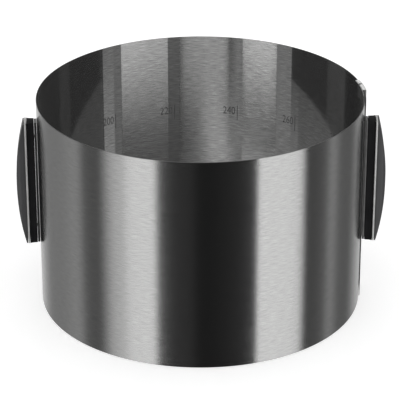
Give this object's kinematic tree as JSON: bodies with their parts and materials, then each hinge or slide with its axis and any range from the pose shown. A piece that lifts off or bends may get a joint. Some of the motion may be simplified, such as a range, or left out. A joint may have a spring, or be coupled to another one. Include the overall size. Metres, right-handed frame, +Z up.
{
  "type": "adjustable cake ring",
  "caption": "Open steel ring for baking and layering cakes: a coiled brushed strip that slides on itself to change its diameter, with two bowed upright grips.",
  "frame": {"origin": "middle of the ring's outline, at the height it stands on", "axes": "+Z up along the ring's axis; +X across the ring towards the grip at the strip's outer end, where the strip lies double; -X towards the other grip"},
  "size_m": [0.3421, 0.301, 0.2014],
  "materials": {
    "band_steel": "thin stainless strip, fine brush lines along the strip",
    "clip_steel": "folded stainless sheet, bright",
    "rail_steel": "dull drawn steel",
    "trim_steel": "satin bright steel",
    "core_plastic": "black moulded plastic, matt",
    "cap_plastic": "dark grey moulded plastic, satin",
    "screw_steel": "plain steel"
  },
  "bodies": {
    "leaf_01": {"band_leaf_01": "band_steel", "right_rail": "rail_steel", "right_grip_core": "core_plastic", "right_trim_plate": "trim_steel", "right_grip_cap": "cap_plastic", "right_upper_screw": "screw_steel", "right_lower_screw": "screw_steel"},
    "leaf_02": {"band_leaf_02": "band_steel"},
    "leaf_03": {"band_leaf_03": "band_steel"},
    "leaf_04": {"band_leaf_04": "band_steel"},
    "leaf_05": {"band_leaf_05": "band_steel"},
    "leaf_06": {"band_leaf_06": "band_steel"},
    "leaf_07": {"band_leaf_07": "band_steel"},
    "leaf_08": {"band_leaf_08": "band_steel"},
    "leaf_09": {"band_leaf_09": "band_steel"},
    "leaf_10": {"band_leaf_10": "band_steel"},
    "leaf_11": {"band_leaf_11": "band_steel"},
    "leaf_12": {"band_leaf_12": "band_steel"},
    "leaf_13": {"band_leaf_13": "band_steel"},
    "leaf_14": {"band_leaf_14": "band_steel"},
    "leaf_15": {"band_leaf_15": "band_steel"},
    "leaf_16": {"band_leaf_16": "band_steel"},
    "leaf_17": {"band_leaf_17": "band_steel", "left_rail": "rail_steel", "left_grip_core": "core_plastic", "left_trim_plate": "trim_steel", "left_grip_cap": "cap_plastic", "left_upper_screw": "screw_steel", "left_lower_screw": "screw_steel"},
    "leaf_18": {"band_leaf_18": "band_steel"},
    "leaf_19": {"band_leaf_19": "band_steel"},
    "leaf_20": {"band_leaf_20": "band_steel"},
    "leaf_21": {"band_leaf_21": "band_steel"},
    "leaf_22": {"band_leaf_22": "band_steel"},
    "leaf_23": {"band_leaf_23": "band_steel"},
    "leaf_24": {"band_leaf_24": "band_steel"},
    "leaf_25": {"band_leaf_25": "band_steel"},
    "leaf_26": {"band_leaf_26": "band_steel"},
    "leaf_27": {"band_leaf_27": "band_steel"},
    "leaf_28": {"band_leaf_28": "band_steel"},
    "leaf_29": {"band_leaf_29": "band_steel"},
    "leaf_30": {"band_leaf_30": "band_steel"},
    "leaf_31": {"band_leaf_31": "band_steel"},
    "leaf_32": {"band_leaf_32": "band_steel", "top_guide_clip": "clip_steel", "bottom_guide_clip": "clip_steel"}
  },
  "joints": [
    {"name": "bend_01", "type": "hinge", "parent": "leaf_02", "child": "leaf_01", "pos_m": [0.15007, 0.01021, 0.1007], "axis": [0, 0, -1], "range_deg": [0, 8.2]},
    {"name": "bend_02", "type": "hinge", "parent": "leaf_03", "child": "leaf_02", "pos_m": [0.14486, 0.04022, 0.1007], "axis": [0, 0, -1], "range_deg": [0, 9.5]},
    {"name": "bend_03", "type": "hinge", "parent": "leaf_04", "child": "leaf_03", "pos_m": [0.13372, 0.06857, 0.1007], "axis": [0, 0, -1], "range_deg": [0, 9.53]},
    {"name": "bend_04", "type": "hinge", "parent": "leaf_05", "child": "leaf_04", "pos_m": [0.11711, 0.0941, 0.1007], "axis": [0, 0, -1], "range_deg": [0, 9.55]},
    {"name": "bend_05", "type": "hinge", "parent": "leaf_06", "child": "leaf_05", "pos_m": [0.09571, 0.11577, 0.1007], "axis": [0, 0, -1], "range_deg": [0, 9.58]},
    {"name": "bend_06", "type": "hinge", "parent": "leaf_07", "child": "leaf_06", "pos_m": [0.07038, 0.1327, 0.1007], "axis": [0, 0, -1], "range_deg": [0, 9.61]},
    {"name": "bend_07", "type": "hinge", "parent": "leaf_08", "child": "leaf_07", "pos_m": [0.04217, 0.14418, 0.1007], "axis": [0, 0, -1], "range_deg": [0, 9.63]},
    {"name": "bend_08", "type": "hinge", "parent": "leaf_09", "child": "leaf_08", "pos_m": [0.01223, 0.14975, 0.1007], "axis": [0, 0, -1], "range_deg": [0, 9.66]},
    {"name": "bend_09", "type": "hinge", "parent": "leaf_10", "child": "leaf_09", "pos_m": [-0.01822, 0.14918, 0.1007], "axis": [0, 0, -1], "range_deg": [0, 9.69]},
    {"name": "bend_10", "type": "hinge", "parent": "leaf_11", "child": "leaf_10", "pos_m": [-0.04794, 0.14249, 0.1007], "axis": [0, 0, -1], "range_deg": [0, 9.71]},
    {"name": "bend_11", "type": "hinge", "parent": "leaf_12", "child": "leaf_11", "pos_m": [-0.07569, 0.12996, 0.1007], "axis": [0, 0, -1], "range_deg": [0, 9.74]},
    {"name": "bend_12", "type": "hinge", "parent": "leaf_13", "child": "leaf_12", "pos_m": [-0.10036, 0.11209, 0.1007], "axis": [0, 0, -1], "range_deg": [0, 9.77]},
    {"name": "bend_13", "type": "hinge", "parent": "leaf_14", "child": "leaf_13", "pos_m": [-0.12092, 0.08962, 0.1007], "axis": [0, 0, -1], "range_deg": [0, 9.79]},
    {"name": "bend_14", "type": "hinge", "parent": "leaf_15", "child": "leaf_14", "pos_m": [-0.13653, 0.06346, 0.1007], "axis": [0, 0, -1], "range_deg": [0, 9.82]},
    {"name": "bend_15", "type": "hinge", "parent": "leaf_16", "child": "leaf_15", "pos_m": [-0.14655, 0.0347, 0.1007], "axis": [0, 0, -1], "range_deg": [0, 9.85]},
    {"name": "bend_16", "type": "hinge", "parent": "leaf_17", "child": "leaf_16", "pos_m": [-0.15056, 0.00451, 0.1007], "axis": [0, 0, -1], "range_deg": [0, 9.87]},
    {"name": "bend_18", "type": "hinge", "parent": "leaf_17", "child": "leaf_18", "pos_m": [-0.14841, -0.02587, 0.1007], "axis": [0, 0, 1], "range_deg": [0, 9.89]},
    {"name": "bend_19", "type": "hinge", "parent": "leaf_18", "child": "leaf_19", "pos_m": [-0.14019, -0.05514, 0.1007], "axis": [0, 0, 1], "range_deg": [0, 9.91]},
    {"name": "bend_20", "type": "hinge", "parent": "leaf_19", "child": "leaf_20", "pos_m": [-0.12625, -0.08215, 0.1007], "axis": [0, 0, 1], "range_deg": [0, 9.94]},
    {"name": "bend_21", "type": "hinge", "parent": "leaf_20", "child": "leaf_21", "pos_m": [-0.10715, -0.1058, 0.1007], "axis": [0, 0, 1], "range_deg": [0, 9.96]},
    {"name": "bend_22", "type": "hinge", "parent": "leaf_21", "child": "leaf_22", "pos_m": [-0.08368, -0.12512, 0.1007], "axis": [0, 0, 1], "range_deg": [0, 9.99]},
    {"name": "bend_23", "type": "hinge", "parent": "leaf_22", "child": "leaf_23", "pos_m": [-0.0568, -0.13932, 0.1007], "axis": [0, 0, 1], "range_deg": [0, 10.02]},
    {"name": "bend_24", "type": "hinge", "parent": "leaf_23", "child": "leaf_24", "pos_m": [-0.02761, -0.1478, 0.1007], "axis": [0, 0, 1], "range_deg": [0, 10.05]},
    {"name": "bend_25", "type": "hinge", "parent": "leaf_24", "child": "leaf_25", "pos_m": [0.00269, -0.15023, 0.1007], "axis": [0, 0, 1], "range_deg": [0, 10.07]},
    {"name": "bend_26", "type": "hinge", "parent": "leaf_25", "child": "leaf_26", "pos_m": [0.03286, -0.1465, 0.1007], "axis": [0, 0, 1], "range_deg": [0, 10.1]},
    {"name": "bend_27", "type": "hinge", "parent": "leaf_26", "child": "leaf_27", "pos_m": [0.06166, -0.13675, 0.1007], "axis": [0, 0, 1], "range_deg": [0, 10.13]},
    {"name": "bend_28", "type": "hinge", "parent": "leaf_27", "child": "leaf_28", "pos_m": [0.0879, -0.12141, 0.1007], "axis": [0, 0, 1], "range_deg": [0, 10.16]},
    {"name": "bend_29", "type": "hinge", "parent": "leaf_28", "child": "leaf_29", "pos_m": [0.1105, -0.10108, 0.1007], "axis": [0, 0, 1], "range_deg": [0, 10.19]},
    {"name": "bend_30", "type": "hinge", "parent": "leaf_29", "child": "leaf_30", "pos_m": [0.12853, -0.07661, 0.1007], "axis": [0, 0, 1], "range_deg": [0, 10.22]},
    {"name": "bend_31", "type": "hinge", "parent": "leaf_30", "child": "leaf_31", "pos_m": [0.14125, -0.049, 0.1007], "axis": [0, 0, 1], "range_deg": [0, 10.25]},
    {"name": "bend_32", "type": "hinge", "parent": "leaf_31", "child": "leaf_32", "pos_m": [0.14814, -0.01939, 0.1007], "axis": [0, 0, 1], "range_deg": [0, 12.33]}
  ],
  "couplings": [
    {"joint": "bend_01", "follows": "bend_18", "ratio": 0.82856},
    {"joint": "bend_02", "follows": "bend_18", "ratio": 0.96078},
    {"joint": "bend_03", "follows": "bend_18", "ratio": 0.96337},
    {"joint": "bend_04", "follows": "bend_18", "ratio": 0.96598},
    {"joint": "bend_05", "follows": "bend_18", "ratio": 0.9686},
    {"joint": "bend_06", "follows": "bend_18", "ratio": 0.97123},
    {"joint": "bend_07", "follows": "bend_18", "ratio": 0.97388},
    {"joint": "bend_08", "follows": "bend_18", "ratio": 0.97653},
    {"joint": "bend_09", "follows": "bend_18", "ratio": 0.9792},
    {"joint": "bend_10", "follows": "bend_18", "ratio": 0.98188},
    {"joint": "bend_11", "follows": "bend_18", "ratio": 0.98457},
    {"joint": "bend_12", "follows": "bend_18", "ratio": 0.98727},
    {"joint": "bend_13", "follows": "bend_18", "ratio": 0.98999},
    {"joint": "bend_14", "follows": "bend_18", "ratio": 0.99271},
    {"joint": "bend_15", "follows": "bend_18", "ratio": 0.99545},
    {"joint": "bend_16", "follows": "bend_18", "ratio": 0.99821},
    {"joint": "bend_19", "follows": "bend_18", "ratio": 1.0018},
    {"joint": "bend_20", "follows": "bend_18", "ratio": 1.0046},
    {"joint": "bend_21", "follows": "bend_18", "ratio": 1.0074},
    {"joint": "bend_22", "follows": "bend_18", "ratio": 1.0102},
    {"joint": "bend_23", "follows": "bend_18", "ratio": 1.013},
    {"joint": "bend_24", "follows": "bend_18", "ratio": 1.0158},
    {"joint": "bend_25", "follows": "bend_18", "ratio": 1.0187},
    {"joint": "bend_26", "follows": "bend_18", "ratio": 1.0215},
    {"joint": "bend_27", "follows": "bend_18", "ratio": 1.0244},
    {"joint": "bend_28", "follows": "bend_18", "ratio": 1.0273},
    {"joint": "bend_29", "follows": "bend_18", "ratio": 1.0302},
    {"joint": "bend_30", "follows": "bend_18", "ratio": 1.0331},
    {"joint": "bend_31", "follows": "bend_18", "ratio": 1.036},
    {"joint": "bend_32", "follows": "bend_18", "ratio": 1.2467}
  ]
}
